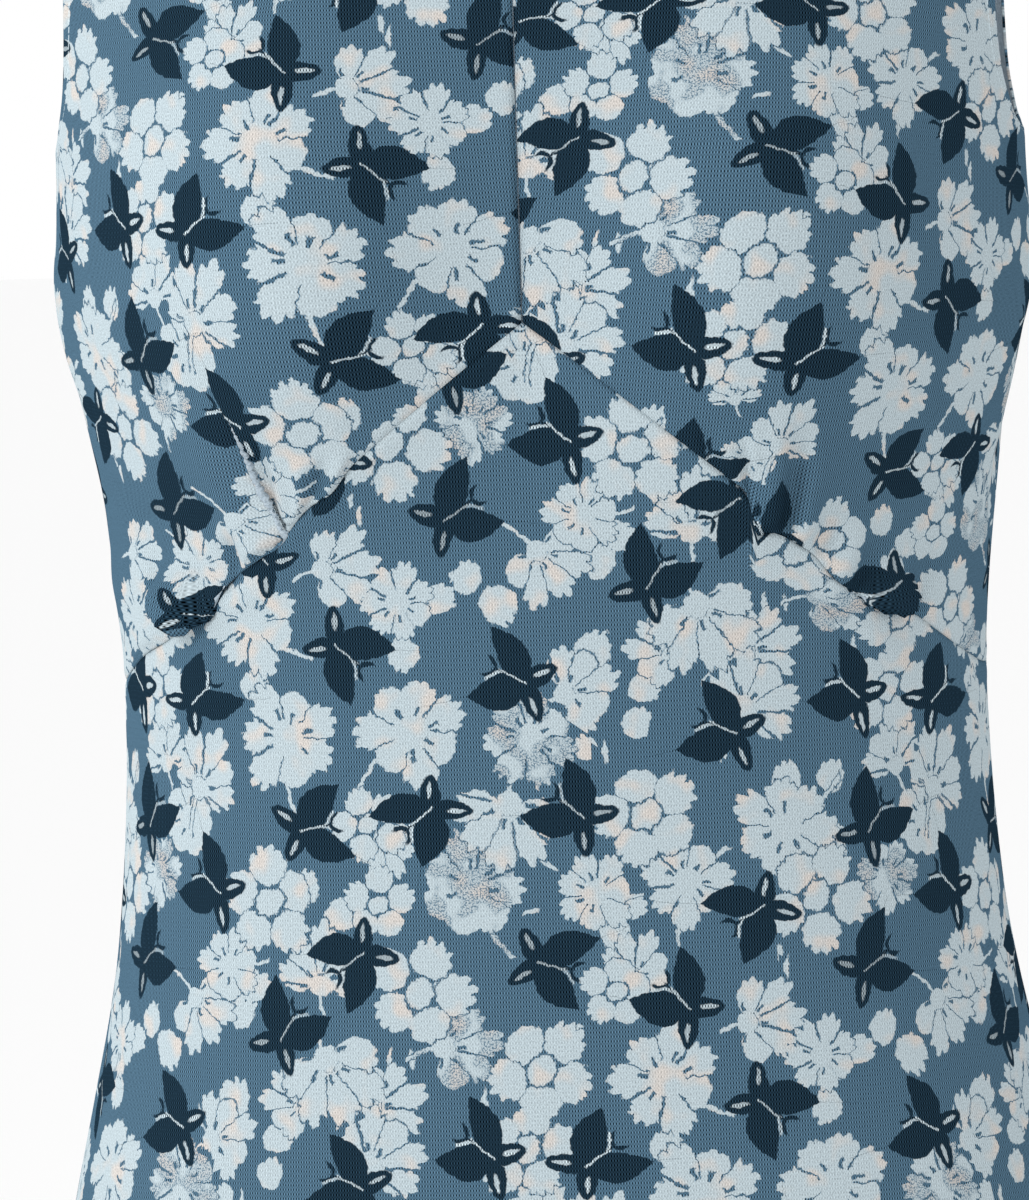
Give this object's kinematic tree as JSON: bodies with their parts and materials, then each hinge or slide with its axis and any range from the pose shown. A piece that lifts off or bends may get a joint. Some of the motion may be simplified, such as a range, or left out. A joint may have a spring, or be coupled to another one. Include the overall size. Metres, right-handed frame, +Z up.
{
  "type": "midi dress",
  "caption": "Worn V-neck sleeveless midi dress in printed jersey: gathered bodice fronts over a pointed seam under the bust, and a skirt that flares to the hem.",
  "frame": {"origin": "middle of the shoulder line, where the wearer's shoulders hold the dress up", "axes": "+Z up; the front faces -Y; +X is the wearer's left"},
  "size_m": [0.5198, 0.4183, 1.1757],
  "materials": {
    "jersey": "fine printed jersey: blue ground, pale blossoms, navy butterflies, soft matt with a light sheen at its edges"
  },
  "bodies": {
    "root": {"front_bodice_right": "jersey", "front_bodice_left": "jersey", "front_skirt": "jersey", "back": "jersey"}
  },
  "joints": []
}
